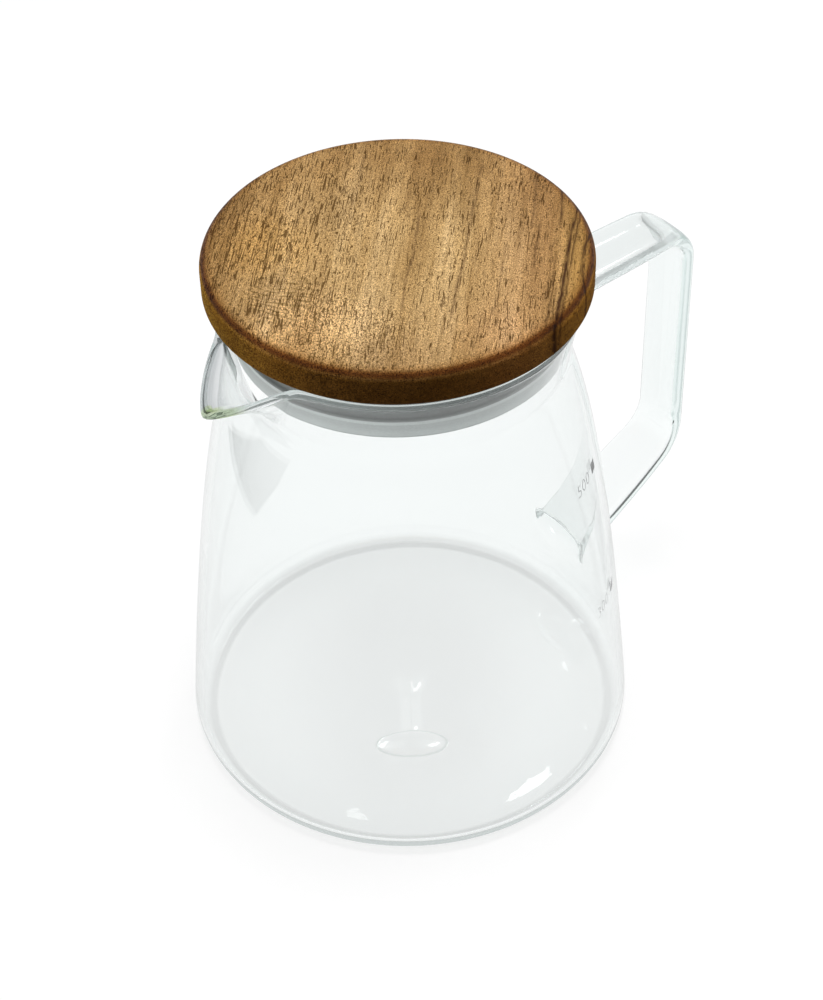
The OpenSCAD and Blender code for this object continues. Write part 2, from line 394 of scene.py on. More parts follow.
# %% [markdown]
# On the real server body and handle are one piece of glass after the weld. If the two
# meshes only overlapped, light would bend a second time at the hidden wall between
# them, so a Boolean modifier joins them into one skin, and the mesh it gives is kept.


# %% Fusing the handle to the body
def fuse(body_bm, handle_bm):
    body = finish_piece(body_bm, "fused_glass", "carafe", "body_glass",
                        "glass_body", "glass_handle")
    handle = finish_piece(handle_bm, "strap_blank")
    weld = body.modifiers.new("weld", "BOOLEAN")
    weld.operation, weld.solver, weld.object = "UNION", "EXACT", handle
    graph = bpy.context.evaluated_depsgraph_get()
    joined = bpy.data.meshes.new_from_object(body.evaluated_get(graph))
    body.modifiers.clear()
    body.data = joined
    bpy.data.objects.remove(handle)
    return body


fused_glass = fuse(vessel, strap)


# %% [markdown]
# Hot glass leaves no sharp crease at a weld. The edges of the joined skin that lie on
# the wall by the handle and turn sharply are found, and their points are smoothed.


# %% Softening the weld's crease
def soften_weld(piece):
    weld_x, weld_half_w, sharp = 34 * MM, 12 * MM, math.radians(14)
    bm = bmesh.new()
    bm.from_mesh(piece.data)
    bmesh.ops.remove_doubles(bm, verts=bm.verts, dist=0.004 * MM)
    crease = set()
    for e in bm.edges:
        mid = (e.verts[0].co + e.verts[1].co) / 2
        if mid.x < weld_x or abs(mid.y) > weld_half_w or len(e.link_faces) != 2:
            continue
        on_wall = abs(math.hypot(mid.x, mid.y) / MM - body_radius(mid.z / MM)) < 0.05
        if on_wall and e.calc_face_angle(0) > sharp:
            crease.update(e.verts)
    bmesh.ops.smooth_vert(bm, verts=list(crease), factor=0.3,
                          use_axis_x=True, use_axis_y=True, use_axis_z=True)
    open_edges = sum(1 for e in bm.edges if len(e.link_faces) != 2)
    bm.to_mesh(piece.data)
    bm.free()
    piece.data.polygons.foreach_set("use_smooth", [True] * len(piece.data.polygons))
    print("weld points softened:", len(crease), "open edges:", open_edges)


soften_weld(fused_glass)

# %% [markdown]
# The lid is turned in one go on a lathe: a thick disc with a low crown, and a plug
# below it with a bead that keeps the ring on. A spun profile is the lathe's own way,
# with arcs for the two rounded edges.

# %% Turning the lid
lid_r, disc_under, lid_edge_h, lid_crown_h = 40.6, 123.7, 8.0, 0.9
top_round, under_round = 2.3, 1.2
plug_r, plug_foot, keeper_r, keeper_top, keeper_slope = 32.38, 111.55, 33.08, 113.15, 0.7
edge_top = disc_under + lid_edge_h
crown_r = lid_r - top_round
lid_profile = [(0, plug_foot), (keeper_r, plug_foot), (keeper_r, keeper_top),
               (plug_r, keeper_top + keeper_slope), (plug_r, disc_under), (36, disc_under)]
lid_profile += arc(lid_r - under_round, disc_under + under_round, under_round, -90, 0, 8)
lid_profile += arc(crown_r, edge_top - top_round, top_round, 0, 90, 12)
lid_profile += [(crown_r * (1 - u), edge_top + lid_crown_h * (1 - (1 - u) ** 2))
                for u in (0.06, 0.13, 0.22, 0.34, 0.48, 0.64, 0.82, 1.0)]
wooden_lid = finish_piece(
    spin_profile(lid_profile, 192), "wooden_lid", "lid", "lid_wood", "lid_disc")

# %% [markdown]
# The sealing ring is moulded silicone: a flange that lies between disc and rim, a
# sleeve, and a broad lip that touches the neck. Its profile is a closed loop, because
# a ring has no point on the axis.

# %% The sealing ring
ring_foot, lip_r, lip_h, sleeve_r, flange_t, soft = 111.5, 35.03, 4.7, 34.03, 1.9, 0.5
bore_r, wide_bore_r, lap = 32.43, 33.13, 0.05
lip_top, ring_top = ring_foot + lip_h, disc_under - 0.02
flange_foot, flange_r = disc_under - flange_t, rim_r - 0.5
seal_profile = [(wide_bore_r, ring_foot)]
seal_profile += arc(lip_r - soft, ring_foot + soft, soft, -90, 0, 6)
seal_profile += arc(lip_r - soft, lip_top - soft, soft, 0, 90, 6)
seal_profile += [(sleeve_r, lip_top), (sleeve_r, flange_foot)]
seal_profile += arc(flange_r - soft, flange_foot + soft, soft, -90, 0, 6)
seal_profile += [(flange_r, ring_top), (bore_r, ring_top),
                 (bore_r, keeper_top + keeper_slope + lap), (wide_bore_r, keeper_top + lap)]
silicone_ring = finish_piece(
    spin_profile(seal_profile, 160, closed=True), "silicone_ring",
    "lid", "silicone", "seal_ring")

# %% [markdown]
# The scale on the glass is printed: two plain numbers, each with a small square at its
# right. A text object is made a mesh first, and then each of its points is laid on the
# curve of the wall, a hair outside the glass, and given the thickness of the print.


# %% Printing the scale
def flat_text(words, height):
    digit_share = 0.7
    curve = bpy.data.curves.new("scale_text", "FONT")
    curve.body = words
    curve.size = height / digit_share
    curve.space_character = 1.08
    curve.offset = -0.035 * height
    curve.align_x = curve.align_y = "CENTER"
    curve.resolution_u = 6
    holder = bpy.data.objects.new("scale_text", curve)
    bpy.context.scene.collection.objects.link(holder)
    graph = bpy.context.evaluated_depsgraph_get()
    mesh = bpy.data.meshes.new_from_object(holder.evaluated_get(graph))
    bpy.data.objects.remove(holder)
    return mesh


def print_mark(words, number_angle, square_angle, height, name):
    number_h, square_half, off_wall, ink_t = 3.0, 1.25, 0.03, 0.02
    bm = bmesh.new()
    bm.from_mesh(flat_text(words, number_h))
    for v in bm.verts:
        v.co.x += math.radians(number_angle) * body_radius(height)
    square = bmesh.ops.create_grid(bm, x_segments=6, y_segments=2, size=square_half)["verts"]
    for v in square:
        v.co.x += math.radians(square_angle) * body_radius(height)
    for v in bm.verts:
        z = height + v.co.y
        r = body_radius(z) + off_wall
        a = v.co.x / body_radius(height)
        v.co = Vector((r * math.cos(a), r * math.sin(a), z)) * MM
    bmesh.ops.solidify(bm, geom=bm.faces[:], thickness=ink_t * MM)
    return finish_piece(bm, name, "carafe", "body_glass")


mark_500 = print_mark("500", -62.3, -53.4, 80.6, "printed_500")
mark_300 = print_mark("300", -60.6, -51.9, 44.6, "printed_300")

# %% [markdown]
# Materials are built from nodes. What nodes work out, a number or a colour, is held in
# a small class, so that a sum in a material reads as it does on paper: each sign
# between two values adds one Math node. A comparison gives 1 where it is true and 0
# elsewhere, and the bar between two values takes the larger one, which joins masks.


# %% A class for sums
class Value:
    """What one socket gives, with the signs that add a Math node."""

    def __init__(self, socket):
        self.socket, self.tree = socket, socket.id_data

    def __add__(self, other):
        return maths("ADD", self, other)

    def __sub__(self, other):
        return maths("SUBTRACT", self, other)

    def __rsub__(self, other):
        return maths("SUBTRACT", other, self)

    def __mul__(self, other):
        return maths("MULTIPLY", self, other)

    def __truediv__(self, other):
        return maths("DIVIDE", self, other)

    def __gt__(self, other):
        return maths("GREATER_THAN", self, other)

    def __lt__(self, other):
        return maths("LESS_THAN", self, other)

    def __or__(self, other):
        return maths("MAXIMUM", self, other)


# %% Math nodes
def tree_of(*values):
    return next(v.tree for v in values if isinstance(v, Value))


def out(node, name=0):
    return Value(node.outputs[name])


def put(socket, value):
    if isinstance(value, Value):
        value.tree.links.new(value.socket, socket)
    else:
        socket.default_value = value


def maths(operation, *values, clamp=False):
    node = tree_of(*values).nodes.new("ShaderNodeMath")
    node.operation, node.use_clamp = operation, clamp
    for socket, value in zip(node.inputs, values):
        put(socket, value)
    return out(node)


def distance(a, b):
    return maths("SQRT", a * a + b * b)


# %% [markdown]
# The other helpers add one node each: a ramp of colours, a mix of two colours or of two
# shaders, and a step with soft ends. Noise is stretched first, so that it can follow
# the grain. The last ones give places, start a material and put it on a piece.


# %% Ramps, mixes and steps
def fill(node, **values):
    """Fills the inputs of a node, whose names are written with _ for a space."""
    for name, value in values.items():
        put(node.inputs[name.replace("_", " ")], value)
    return node


def add_node(tree, kind, **values):
    return fill(tree.nodes.new("ShaderNode" + kind), **values)


def ramp(factor, stops):
    node = factor.tree.nodes.new("ShaderNodeValToRGB")
    put(node.inputs[0], factor)
    points = node.color_ramp.elements
    while len(points) < len(stops):
        points.new(0.5)
    for point, (position, colour) in zip(points, stops):
        point.position = position
        point.color = (*colour, 1) if isinstance(colour, tuple) else (colour,) * 3 + (1,)
    return out(node)


def mixed(factor, a, b, blend="MIX"):
    node = tree_of(factor, a, b).nodes.new("ShaderNodeMix")
    node.data_type, node.blend_type = "RGBA", blend
    for i, value in ((0, factor), (6, a), (7, b)):
        put(node.inputs[i], value)
    return out(node, 2)


def tinted(colour, other, factor=1.0):
    return mixed(factor, colour, other, "MULTIPLY")


def mixed_shader(factor, a, b):
    node = factor.tree.nodes.new("ShaderNodeMixShader")
    for socket, value in zip(node.inputs, (factor, a, b)):
        put(socket, value)
    return out(node)


def soft_step(value, low, high, at_low=0.0, at_high=1.0):
    node = value.tree.nodes.new("ShaderNodeMapRange")
    node.interpolation_type = "SMOOTHSTEP"
    for socket, number in zip(node.inputs, (value, low, high, at_low, at_high)):
        put(socket, number)
    return out(node)


# %% Noise, relief, places and materials
def noise(place, stretch, detail, rough=0.5):
    """Noise at a place. The larger a stretch, the finer the noise along that axis."""
    stretched = place.tree.nodes.new("ShaderNodeVectorMath")
    stretched.operation = "MULTIPLY"
    put(stretched.inputs[0], place)
    put(stretched.inputs[1], stretch)
    return out(add_node(place.tree, "TexNoise", Vector=out(stretched), Scale=1.0,
                        Detail=detail, Roughness=rough))


def bumped(height, depth):
    return out(add_node(height.tree, "Bump", Height=height, Distance=depth))


def object_place(tree):
    return out(tree.nodes.new("ShaderNodeTexCoord"), "Object")


def light_path(tree):
    return {s.name: Value(s) for s in tree.nodes.new("ShaderNodeLightPath").outputs}


def xyz(vector):
    return [Value(s) for s in add_node(vector.tree, "SeparateXYZ", Vector=vector).outputs]


def new_material(name):
    material = bpy.data.materials.new(name)
    material.use_nodes = True
    return material, material.node_tree, material.node_tree.nodes["Principled BSDF"]


def wear(piece, material):
    piece.data.materials.clear()
    piece.data.materials.append(material)
    print(piece.name, "wears", material.name, "of", len(material.node_tree.nodes), "nodes")


# %% [markdown]
# What two materials share, or one material uses many times, is a node group. One
# helper starts a group with its sockets, and one adds a group to a tree.


# %% Helpers for node groups
def new_group(name, given, made):
    group = bpy.data.node_groups.new(name, "ShaderNodeTree")
    for names, way in ((given, "INPUT"), (made, "OUTPUT")):
        for socket in names:
            kind = "NodeSocketVector" if socket == "Vector" else "NodeSocketFloat"
            group.interface.new_socket(name=socket, in_out=way, socket_type=kind)
    source = group.nodes.new("NodeGroupInput")
    result = group.nodes.new("NodeGroupOutput")
    return group, {name: Value(source.outputs[name]) for name in given}, result


def use_group(tree, group, values):
    node = tree.nodes.new("ShaderNodeGroup")
    node.node_tree = group
    for name, value in values.items():
        put(node.inputs[name], value)
    return [Value(s) for s in node.outputs]


# %% [markdown]
# Blown glass is never quite even: it has long, shallow waves that only show where they
# bend a reflection. The silicone has a fine sand-blasted skin. Both are heights made
# from noise on Object coordinates, so one node group gives them, with its own values
# in each material.


# %% A shared group for uneven skins
def make_uneven_skin():
    group, given, result = new_group(
        "uneven_skin", ("Vector", "Wave", "Fine", "Fine Share"), ("Height", "Mask"))

    def layer(scale, detail):
        return out(add_node(group, "TexNoise", Vector=given["Vector"], Scale=scale,
                            Detail=detail))

    waves, grains = layer(given["Wave"], 1.0), layer(given["Fine"], 3.0)
    put(result.inputs["Height"], waves + grains * given["Fine Share"])
    put(result.inputs["Mask"], grains)
    return group


uneven_skin = make_uneven_skin()


def skin(tree, wave, fine, share):
    return use_group(tree, uneven_skin, {
        "Vector": object_place(tree), "Wave": wave, "Fine": fine, "Fine Share": share})


# %% [markdown]
# A few places of the glass carry a painted tint, bound to where they are on the piece:
# painted shade and painted reflection in place of the room of a real studio, which isn't
# built here. They are a painted shadow ring under the corner of the foot, a painted dark
# line on the steep rim of the drop, a painted grey on the wall and on the handle's limb,
# and on the thick lip of the spout a painted green tip on the near side and a painted
# dark on the far side.


# %% Painted tints of the glass
spout_from, strap_from = -36.5 * MM, 52.5 * MM


def drop_rim_painted_line(x, y, z):
    """White, with a painted dark line on the steep rim of the drop."""
    c, s = math.cos(drop_way) / MM, math.sin(drop_way) / MM
    along = x * (c / drop_half_l) + (y * (s / drop_half_l) - drop_off / drop_half_l)
    aside = x * (-s / drop_half_w) + y * (c / drop_half_w)
    away = (distance(along, aside) - 1.0) / 0.05
    # A painted dark line, where the steep rim of the real drop bends the light away.
    line = maths("EXPONENT", away * away * -1.0) * (z > 1.5 * MM)
    return mixed(line, (1, 1, 1, 1), (0.72, 0.75, 0.74, 1))


def foot_painted_shadow(x, y, share):
    """A painted shadow ring under the corner of the foot, painted darker at the back."""
    ring = ramp(share, ((0.0, 1.0), (0.717, 0.96), (0.772, 0.66), (0.841, 0.66),
                        (0.90, 0.9), (1.0, 1.0)))
    # Painted shade: the back of the foot is a little darker, where the lid keeps light off.
    far = x * 0.605 + y * 0.796
    return tinted(ring, soft_step(far, 5 * MM, 45 * MM, 1.0, 0.93))


def lip_bead(x, y, z):
    """Whether a point lies in the thick lip of the spout: within 2 mm of its top."""
    aside = maths("ARCTAN2", maths("ABSOLUTE", y), x * -1.0)
    top = aside * (spout_drop * MM / math.radians(spout_half)) + (rim_h - spout_drop) * MM
    return soft_step(z - top, -2.8 * MM, -1.8 * MM) * (x < spout_from)


def glass_painted_tones(x, y, z):
    share = (distance(x, y) - 36 * MM) / (14.5 * MM)
    # A painted grey on the wall and the handle's limb, in place of the room that glass shows.
    inside_or_wall = (z > 3.3 * MM) | (share > 0.84)
    painted_tint = mixed(inside_or_wall, drop_rim_painted_line(x, y, z), (0.938, 0.949, 0.947, 1))
    limb = (x > strap_from) * soft_step(z, 30 * MM, 55 * MM)
    painted_tint = mixed(limb, painted_tint, (0.870, 0.893, 0.888, 1))
    # A painted green on the near tip of the spout's lip and a painted dark on its far side.
    bead, far_side = lip_bead(x, y, z), y > 1 * MM
    green = (1.0 - far_side) * soft_step(x, -46.5 * MM, -43.0 * MM, 1.0, 0.0)
    painted_tint = mixed(bead * green, painted_tint, (0.42, 0.52, 0.28, 1))
    painted_tint = mixed(bead * far_side, painted_tint, (0.55, 0.57, 0.58, 1))
    # The painted shadow ring under the foot.
    return mixed(z < 0.8 * MM, painted_tint, foot_painted_shadow(x, y, share))


# %% [markdown]
# Two kinds of ray go straight through the glass, by a mix with a Transparent shader:
# the shadow rays, so that the floor gets a soft light shadow instead of a black one,
# and rays that have bounced to and fro in the wall for long, which would end up black
# when the renderer gives them up. The strap, the weld and the spout are thick and keep
# more of their bounces, and at a slant the same mix paints their edges dark: a painted
# shade in place of the dark parts of a room that thick glass shows.


# %% Rays that go straight through
def thick_places(x, y, z):
    """The strap's upper branch, the spout, and all the thick places together."""
    strap = x > strap_from
    upper = strap * (z > 90 * MM)
    spout = (x < spout_from) * (z > 108 * MM)
    weld = (x > 41.5 * MM) * ((z < 36 * MM) * (maths("ABSOLUTE", y) < 12.5 * MM))
    return upper, spout, strap | weld | spout


def see_through(tree, x, y, z):
    """The share of rays that go straight through, and the tone they get."""
    path, grazing = light_path(tree), out(tree.nodes.new("ShaderNodeLayerWeight"), "Facing")
    shade = ramp(grazing, ((0.3, (0.93, 0.945, 0.94)), (0.75, (0.75, 0.77, 0.765)),
                           (0.97, (0.3, 0.32, 0.315))))
    shadow = mixed(path["Is Shadow Ray"], (1, 1, 1, 1), shade)
    upper, spout, thick = thick_places(x, y, z)
    turns = thick * 2.0 + 1.5 - upper
    half = upper * ((path["Glossy Depth"] > 1.5) * 0.6)
    lost = (path["Glossy Depth"] > turns) | (path["Ray Depth"] > 8.5)
    lost = lost | half | path["Is Shadow Ray"]
    slant = thick * soft_step(z, 50 * MM, 95 * MM, 1.0, 0.35) * (spout * -0.5 + 1.0)
    # A painted shade: the edges of the thick places are darkened at a slant.
    edge = soft_step(grazing, 0.70, 0.92) * slant * maths("SUBTRACT", 1.0, lost, clamp=True)
    return lost | edge * 0.6, mixed(edge, shadow, (0.20, 0.22, 0.215, 1))


# %% [markdown]
# Borosilicate glass bends light by 1.47 and takes a little red out of it, which shows
# as a faint green-grey where the path through it is long: at the sides, in the thick
# corner of the foot and in the handle. That is a Volume Absorption.


# %% Clear glass
def make_clear_glass():
    material, tree, shader = new_material("clear_borosilicate")
    x, y, z = xyz(object_place(tree))
    height, _ = skin(tree, 38, 160, 0.12)
    fill(shader, Base_Color=glass_painted_tones(x, y, z), Roughness=0.0, IOR=1.47,
         Transmission_Weight=1.0, Normal=bumped(height, 0.06 * MM))
    share, tone = see_through(tree, x, y, z)
    through = add_node(tree, "BsdfTransparent", Color=tone)
    inside = add_node(tree, "VolumeAbsorption", Color=(0.55, 0.74, 0.71, 1), Density=18)
    fill(tree.nodes["Material Output"], Volume=out(inside),
         Surface=mixed_shader(share, out(shader), out(through)))
    return material


wear(fused_glass, make_clear_glass())

# %% [markdown]
# The lid is an open-pored hardwood, cut along its grain, sanded and oiled. Its look has
# layers, from large to small: bands of tone across the grain, dark heartwood lines near
# one edge, fine fibres, and thin dark pores that lie along the grain. Most layers are
# noises that are stretched along the grain, so the first step is a coordinate that runs
# across it in x and along it in y, in millimetres.


# %% Wood, first part: where the grain runs
def grain_place(tree):
    return out(add_node(tree, "Mapping", Vector=object_place(tree),
                        Rotation=(0, 0, math.radians(44.7)), Scale=(1 / MM, 1 / MM, 1 / MM)))


# %% [markdown]
# Heartwood shows as single dark lines, and each has its own place, lean and length. They
# all work alike, so one node group draws a line and the material uses it many times:
# the line is darkest in its middle, falls off to both sides and fades out at its ends.

# %% Wood, second part: a group for one dark line
line_sockets = ("Middle", "Lean", "Bow", "Width", "From", "To", "Dark")


def make_grain_line():
    group, given, result = new_group(
        "grain_line", ("Across", "Along", *line_sockets), ("Depth",))
    along, fade = given["Along"], 0.35
    line = along * given["Lean"] + along * along * given["Bow"]
    away = (given["Across"] - line - given["Middle"]) / given["Width"]
    core = maths("EXPONENT", away * away * -1.0)
    starts = maths("MULTIPLY", along - given["From"], fade, clamp=True)
    ends = maths("MULTIPLY", given["To"] - along, fade, clamp=True)
    put(result.inputs["Depth"], starts * ends * (core * given["Dark"]))
    return group


grain_line = make_grain_line()
# Middle, lean, bow, width, from, to, darkness: millimetres across and along the grain.
dark_lines = (
    (34.8, 0.050, 0.0, 0.45, -30, 30, 1.00), (35.7, 0.055, 0.0, 0.26, -30, 26, 0.75),
    (32.3, 0.012, 0.0, 0.30, -24, 2, 0.60), (31.6, 0.030, 0.0, 0.20, -16, 6, 0.45),
    (32.6, 0.0, 0.0, 0.30, 9, 30, 0.85), (33.3, 0.02, 0.0, 0.22, -26, -9, 0.45),
    (37.9, 0.026, 0.013, 0.28, -16, 11, 0.90), (13.9, 0.025, 0.0, 0.45, -24, 32, 0.50),
    (3.4, 0.010, 0.0, 0.28, -23, 12, 0.60), (-21.5, 0.0, 0.0, 0.28, -13, 10, 0.55),
    (29.4, 0.0, 0.0, 0.22, -40, -27, 0.60), (-11.0, 0.02, 0.0, 0.35, 4, 34, 0.40),
    (22.0, 0.03, 0.0, 0.22, -22, 3, 0.35), (26.5, 0.02, 0.0, 0.35, 6, 30, 0.45),
    (28.2, 0.02, 0.0, 0.28, -8, 12, 0.50), (24.3, 0.015, 0.0, 0.25, 2, 22, 0.35))


def heartwood(place, across, along):
    """All dark lines together. They sway with the grain and are broken in places."""
    sway = noise(place, (0.03, 0.07, 0.05), 2)
    fine = noise(place, (0.4, 0.35, 0.4), 1)
    moved = across + (sway * 1.6 - 0.8) + (fine * 0.5 - 0.25)
    deepest = None
    for line in dark_lines:
        depth = use_group(place.tree, grain_line, {
            "Across": moved, "Along": along, **dict(zip(line_sockets, line))})[0]
        deepest = depth if deepest is None else deepest | depth
    return deepest * soft_step(noise(place, (1.2, 0.16, 0.6), 2), 0.3, 0.55, 0.35, 1.0)


# %% [markdown]
# Pores are cut vessels. On a face along the grain they are thin dashes, longer and more
# of them in some places than in others, and towards one edge they are so short that
# they are dots. Where the fibres dip under the surface, the cut shows fine ripples
# across the grain instead.


# %% Wood, third part: pores and the ripple
def pores(place, across, along):
    patch = noise(place, (0.10, 0.05, 0.1), 1)
    more = patch * 0.2 - 0.1 + soft_step(across, -30, 12, 0.045, -0.018)
    short = noise(place, (5.0, 1.0, 5.0), 0)
    long = noise(place, (4.0, 0.24, 4.0), 0)
    dashes = soft_step(short + more, 0.69, 0.73) | soft_step(long + more, 0.67, 0.71)
    away = distance(across + 8, along + 29)
    dots = soft_step(noise(place, (3.0, 2.0, 3.0), 1), 0.56, 0.62)
    return dashes | dots * soft_step(away, 8, 19, 0.9, 0.0)


def ripple(place, across, along):
    away = maths("POWER", (across + 21.3) / 9, 2) + maths("POWER", (along + 19) / 10, 2)
    bent = along + across * 0.16 + noise(place, (0.10, 0.16, 0.1), 1) * 7.0
    wave = maths("SINE", bent * (math.tau / 1.3))
    broken = soft_step(noise(place, (0.35, 1.1, 0.4), 1), 0.35, 0.6)
    return wave * soft_step(away, 0.1, 1.0, 1.0, 0.0) * broken


# %% [markdown]
# The disc is palest in its middle and gets darker away from there. The small round of
# its edge is darkest. The side is darker than the top, partly by painted shade, as it
# turns away from the light above, and partly by its grain: it shows end grain where the
# grain runs out of it, which is dark, and long grain on its two flanks, which is paler,
# and redder on the flank where the heartwood lies.


# %% Wood, fourth part: the edge and the side
def edge_shade(across, along):
    """The tone of top, round and side, with painted shade on the side, and the side's share.
    """
    pale = distance(across, along + 6) / 60
    top = ramp(pale, ((0.22, (1.0, 1.0, 1.0)), (0.47, (0.81, 0.775, 0.73)),
                      (0.56, (0.785, 0.74, 0.68)), (0.62, (0.72, 0.66, 0.58))))
    share = (distance(across, along) - 36) / 5
    rim = ramp(share, ((0.30, (1.0, 1.0, 1.0)), (0.58, (0.84, 0.76, 0.66)),
                       (0.70, (0.40, 0.26, 0.15)), (0.79, (0.24, 0.125, 0.06)),
                       (0.86, (0.30, 0.19, 0.10)), (0.92, (1.0, 1.0, 1.0))))
    # The side: painted shade, as it turns from the light above, and its end grain.
    side = ramp(maths("ABSOLUTE", along) / 41,
                ((0.45, (0.88, 0.70, 0.22)), (0.80, (0.50, 0.35, 0.11)),
                 (0.97, (0.25, 0.165, 0.06))))
    side = mixed(soft_step(across, 6, 28), side, tinted(side, (0.74, 0.68, 0.95, 1)))
    down = soft_step(share, 0.82, 0.92)
    return mixed(down, tinted(top, rim), side), down


# %% [markdown]
# The broad tones come first: bands along the grain, two paler or darker patches where
# the real board has them, two paler patches at the front that are a painted sheen, and
# the golden heartwood near the right edge. Three layers of streaks, each finer than the
# last, go over them.

# %% Wood, fifth part: bands, patches and streaks
# Each patch: its middle across and along the grain, its reach, and its gain in tone.
# The first two are a painted sheen at the front of the top.
tone_and_sheen_patches = ((-15, -28, 16, (1.74, 1.80, 2.02)), (22, -26, 13, (1.18, 1.18, 1.26)),
                (4, -36, 12, (0.92, 0.91, 0.93)), (-27, -2, 15, (1.12, 1.06, 0.90)))


def shaded(tone, factor, low, high):
    """The tone, made darker and warmer where the factor is low, and paler where high."""
    dark = (low, low ** 1.15, low ** 1.5)
    return tinted(tone, ramp(factor, ((0.3, dark), (0.5, 1.0), (0.7, high))))


def board_tone(place, across, along):
    tone = ramp(noise(place, (0.15, 0.010, 0.12), 4, 0.6), (
        (0.32, (0.395, 0.239, 0.092)), (0.50, (0.500, 0.322, 0.137)),
        (0.68, (0.598, 0.405, 0.194))))
    for a, b, size, gain in tone_and_sheen_patches:
        away = distance(across - a, along - b)
        tone = tinted(tone, mixed(soft_step(away, 2, size), (*gain, 1), (1, 1, 1, 1)))
    tone = tinted(tone, (1.0, 0.955, 0.98, 1), soft_step(across, 12, 28))
    tone = mixed(soft_step(across, 30, 37), tone, (0.470, 0.290, 0.098, 1))
    tone = shaded(tone, noise(place, (0.07, 0.03, 0.05), 1), 0.84, 1.12)
    tone = shaded(tone, noise(place, (0.8, 0.03, 0.8), 3, 0.6), 0.80, 1.13)
    return shaded(tone, noise(place, (2.6, 0.06, 2.6), 2), 0.86, 1.10)


# %% [markdown]
# Now the whole material: fibres, ripple, pores and heartwood lines are laid over the
# board's tone, and each of them is a little relief too, because a pore is a groove.
# Oiled wood has a dull shine, and its side is duller than its sanded top.


# %% Wood, sixth part: the whole material
def make_oiled_wood():
    material, tree, shader = new_material("oiled_hardwood")
    place = grain_place(tree)
    across, along, _ = xyz(place)
    fibre = noise(place, (5.0, 2.8, 5.0), 3, 0.8)
    cross = ripple(place, across, along)
    holes = pores(place, across, along)
    lines = heartwood(place, across, along)
    around, side = edge_shade(across, along)

    tone = shaded(board_tone(place, across, along), fibre, 0.24, 2.20)
    ripple_share = maths("MULTIPLY", cross, 0.8, clamp=True)
    tone = mixed(ripple_share, tone, (0.20, 0.120, 0.030, 1))
    tone = mixed(holes * 0.85, tone, (0.095, 0.045, 0.010, 1))
    tone = tinted(mixed(lines, tone, (0.070, 0.028, 0.008, 1)), around)

    rough = side * 0.5 + (fibre * 0.25 + 0.33)
    relief = fibre * 0.8 - holes - lines + cross * 0.5
    fill(shader, Base_Color=tone, Normal=bumped(relief, 0.09 * MM), Specular_IOR_Level=0.1,
         Roughness=maths("ADD", rough, holes * 0.2, clamp=True))
    return material


wear(wooden_lid, make_oiled_wood())

# %% [markdown]
# Silicone of this kind is frosted: light goes in, scatters and comes out soft. A part
# of transmission with a high roughness, over a pale grey, gives that look for little
# render time. A ramp over the height paints light and shade in bands: a painted dark line
# on the lowest edge of the lip, painted highlights on the lip, brightest just under its
# top, and painted shade on the sleeve and the flange, which lie under the lid. The print
# is a grey ink, and the lower number has taken less of it.


# %% Frosted silicone and print
def make_silicone():
    material, tree, shader = new_material("frosted_silicone")
    height, mask = skin(tree, 300, 2600, 0.5)
    tone = ramp(mask, ((0.3, (0.68, 0.72, 0.71)), (0.7, (0.76, 0.80, 0.79))))
    rise = (xyz(object_place(tree))[2] - ring_foot * MM) / (10 * MM)
    # Painted light and shade in bands: highlights on the lip, shade on the sleeve and flange.
    bands = ramp(rise, ((0.00, 0.60), (0.03, 0.62), (0.06, 1.25), (0.14, 1.20),
                        (0.25, 1.06), (0.34, 1.06), (0.36, 1.32), (0.42, 1.32),
                        (0.44, 0.50), (0.80, 0.64)))
    fill(shader, Base_Color=tinted(tone, bands), Roughness=0.45, IOR=1.41,
         Transmission_Weight=0.12, Normal=bumped(height, 0.03 * MM))
    return material


def make_print():
    material, tree, shader = new_material("scale_print")
    height, mask = skin(tree, 600, 5000, 0.6)
    tone = ramp(mask, ((0.3, (0.38, 0.39, 0.39)), (0.7, (0.48, 0.49, 0.49))))
    lower = xyz(object_place(tree))[2] < 60 * MM
    fill(shader, Base_Color=mixed(lower * 0.85, tone, (0.95, 0.96, 0.96, 1)),
         Roughness=0.55, Normal=bumped(height, 0.01 * MM))
    return material


wear(silicone_ring, make_silicone())
scale_print = make_print()
wear(mark_500, scale_print)
wear(mark_300, scale_print)

# %% [markdown]
# The carafe stands on a plain pale sheet with no edge in view. The camera has to see it
# as white, but lamps strong enough for that would bleach the wood. So for camera rays,
# and for rays that come through or off the glass, a white of its own is added to the
# lit paper, which keeps the shadow. Glass is also drawn by what it mirrors that is
# dark. So a black card seems to lie at the back on the left: it is a place on the floor
# that is black for mirrored rays alone, with five straight edges.

# %% Floor
# Each edge of the card: a, b and c, with a * x + b * y below c inside it, in metres.
card_edges = ((0.776, -0.631, -0.187), (0.0, -1.0, -0.0955), (-0.154, -1.0, -0.0535),
              (-0.70, 1.0, 0.472), (0.212, 1.0, 0.172))


def make_floor():
    bm = bmesh.new()
    bmesh.ops.create_grid(bm, x_segments=1, y_segments=1, size=4.0)
    for v in bm.verts:
        v.co.z = -0.3 * MM
    floor = finish_piece(bm, "pale_floor")
    floor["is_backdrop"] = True
    return floor


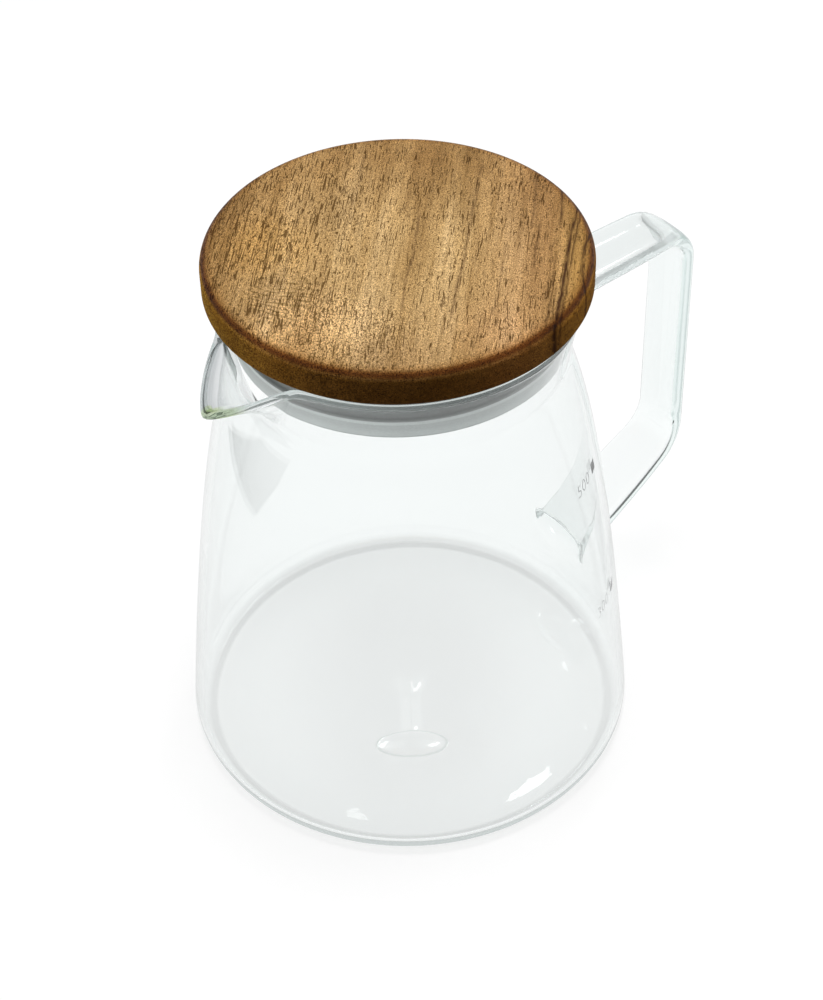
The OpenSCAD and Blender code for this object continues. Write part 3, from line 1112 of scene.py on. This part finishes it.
def make_paper():
    material, tree, shader = new_material("pale_floor")
    path = light_path(tree)
    x, y, _ = xyz(object_place(tree))
    card, blur = path["Glossy Depth"] > 0.5, 3 * MM
    for a, b, limit in card_edges:
        card = card * soft_step(x * a + y * b, limit - blur, limit + blur, 1.0, 0.0)
    free = 1.0 - card
    fill(shader, Base_Color=mixed(free, (0, 0, 0, 1), (0.25, 0.25, 0.25, 1)),
         Roughness=1.0, Specular_IOR_Level=0.0)
    seen = path["Is Camera Ray"] * 0.77 | path["Is Transmission Ray"] * 0.84
    white = add_node(tree, "Emission", Color=(1, 1, 1, 1),
                     Strength=(seen | path["Is Glossy Ray"] * 0.6) * free)
    both = tree.nodes.new("ShaderNodeAddShader")
    put(both.inputs[0], out(shader))
    put(both.inputs[1], out(white))
    fill(tree.nodes["Material Output"], Surface=out(both))
    return material


wear(make_floor(), make_paper())

# %% [markdown]
# The room is a plain bright tent. Its light on rough surfaces is weak and even. What
# glass and gloss see of it is white at the horizon and greyer overhead, as in a studio
# where the ceiling is dimmer than the paper, and this is what draws the glass. High up
# at the back are two paler panes with a dark bar between them, mirrored in the floor.


# %% World
def make_world():
    world = bpy.data.worlds.new("studio")
    bpy.context.scene.world = world
    world.use_nodes = True
    tree = world.node_tree
    room = fill(tree.nodes["Background"], Color=(1, 1, 1, 1), Strength=0.2)
    east, north, up = xyz(out(tree.nodes.new("ShaderNodeTexCoord"), "Generated"))
    beside = maths("ABSOLUTE", east * 0.795 + north * -0.606)
    panes = soft_step(beside, 0.015, 0.075) * soft_step(beside, 0.2, 0.3, 1.0, 0.0)
    panes = panes * soft_step(up, 0.66, 0.76)
    overhead = panes * 0.7 + soft_step(up, 0.05, 0.6, 0.9, 0.2)
    gloss = add_node(tree, "Background", Color=overhead)
    white = add_node(tree, "Background", Color=(1, 1, 1, 1))
    path = light_path(tree)
    shown = path["Is Glossy Ray"] | path["Is Transmission Ray"]
    light = mixed_shader(shown, out(room), out(gloss))
    fill(tree.nodes["World Output"],
         Surface=mixed_shader(path["Is Camera Ray"], light, out(white)))
    print("world of", len(tree.nodes), "nodes")


make_world()

# %% [markdown]
# Four soft lamps light the piece, and glass sees only the last of them, a narrow strip.
# Three very small and weak ones behind the carafe light nothing, but the flat floor of
# the glass mirrors them, and they give it the sharp white glints of the real one.


# %% Lamps
def softbox(name, place, aim, size, power, seen=False, along=None):
    data = bpy.data.lights.new(name, "AREA")
    data.shape = "ELLIPSE" if along else "RECTANGLE"
    data.size, data.size_y, data.energy = size[0], size[1], power
    lamp = bpy.data.objects.new(name, data)
    bpy.context.scene.collection.objects.link(lamp)
    back = (Vector(place) - Vector(aim)).normalized()
    side = Vector(along) if along else Vector((0, 0, 1)).cross(back)
    side = (side - back * side.dot(back)).normalized()
    axes = Matrix((side, back.cross(side), back)).transposed()
    lamp.matrix_world = Matrix.Translation(place) @ axes.to_4x4()
    lamp.visible_glossy = lamp.visible_transmission = seen
    print(name, power, "W, seen by glass:", seen)


softbox("top_softbox", (0.06, 0.02, 1.3), (0, 0, 0), (0.36, 0.36), 11)
softbox("left_softbox", (-0.9, 0.2, 0.45), (0, 0, 0.1), (0.5, 0.7), 2.4)
softbox("right_softbox", (0.85, -0.25, 0.4), (0, 0, 0.1), (0.4, 0.5), 1.6)
softbox("strip_softbox", (0.42, 0.28, 0.75), (0, 0, 0.05), (0.09, 0.22), 0.55, seen=True)
softbox("glint_right", (0.4420, 0.4241, 0.7682), (0.0056, -0.0474, 0), (0.049, 0.010), 0.0109,
        seen=True, along=(0.956, -0.191, -0.223))
softbox("glint_left", (0.3224, 0.4989, 0.7754), (-0.0373, -0.0229, 0), (0.024, 0.009), 0.0019,
        seen=True, along=(0.542, -0.825, 0.161))
softbox("glint_side", (0.5183, 0.4563, 0.7344), (0.0401, -0.0283, 0), (0.010, 0.012), 0.0012,
        seen=True, along=(0.753, -0.657, -0.028))

bpy.context.scene.view_settings.view_transform = "Standard"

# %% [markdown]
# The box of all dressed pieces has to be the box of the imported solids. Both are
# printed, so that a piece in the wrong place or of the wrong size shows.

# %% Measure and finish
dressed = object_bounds()
for name, low, high in (("cad", *cad_box), ("visual", *dressed)):
    print(name, "box in mm:", [round(v / MM, 2) for v in (*low, *high)])
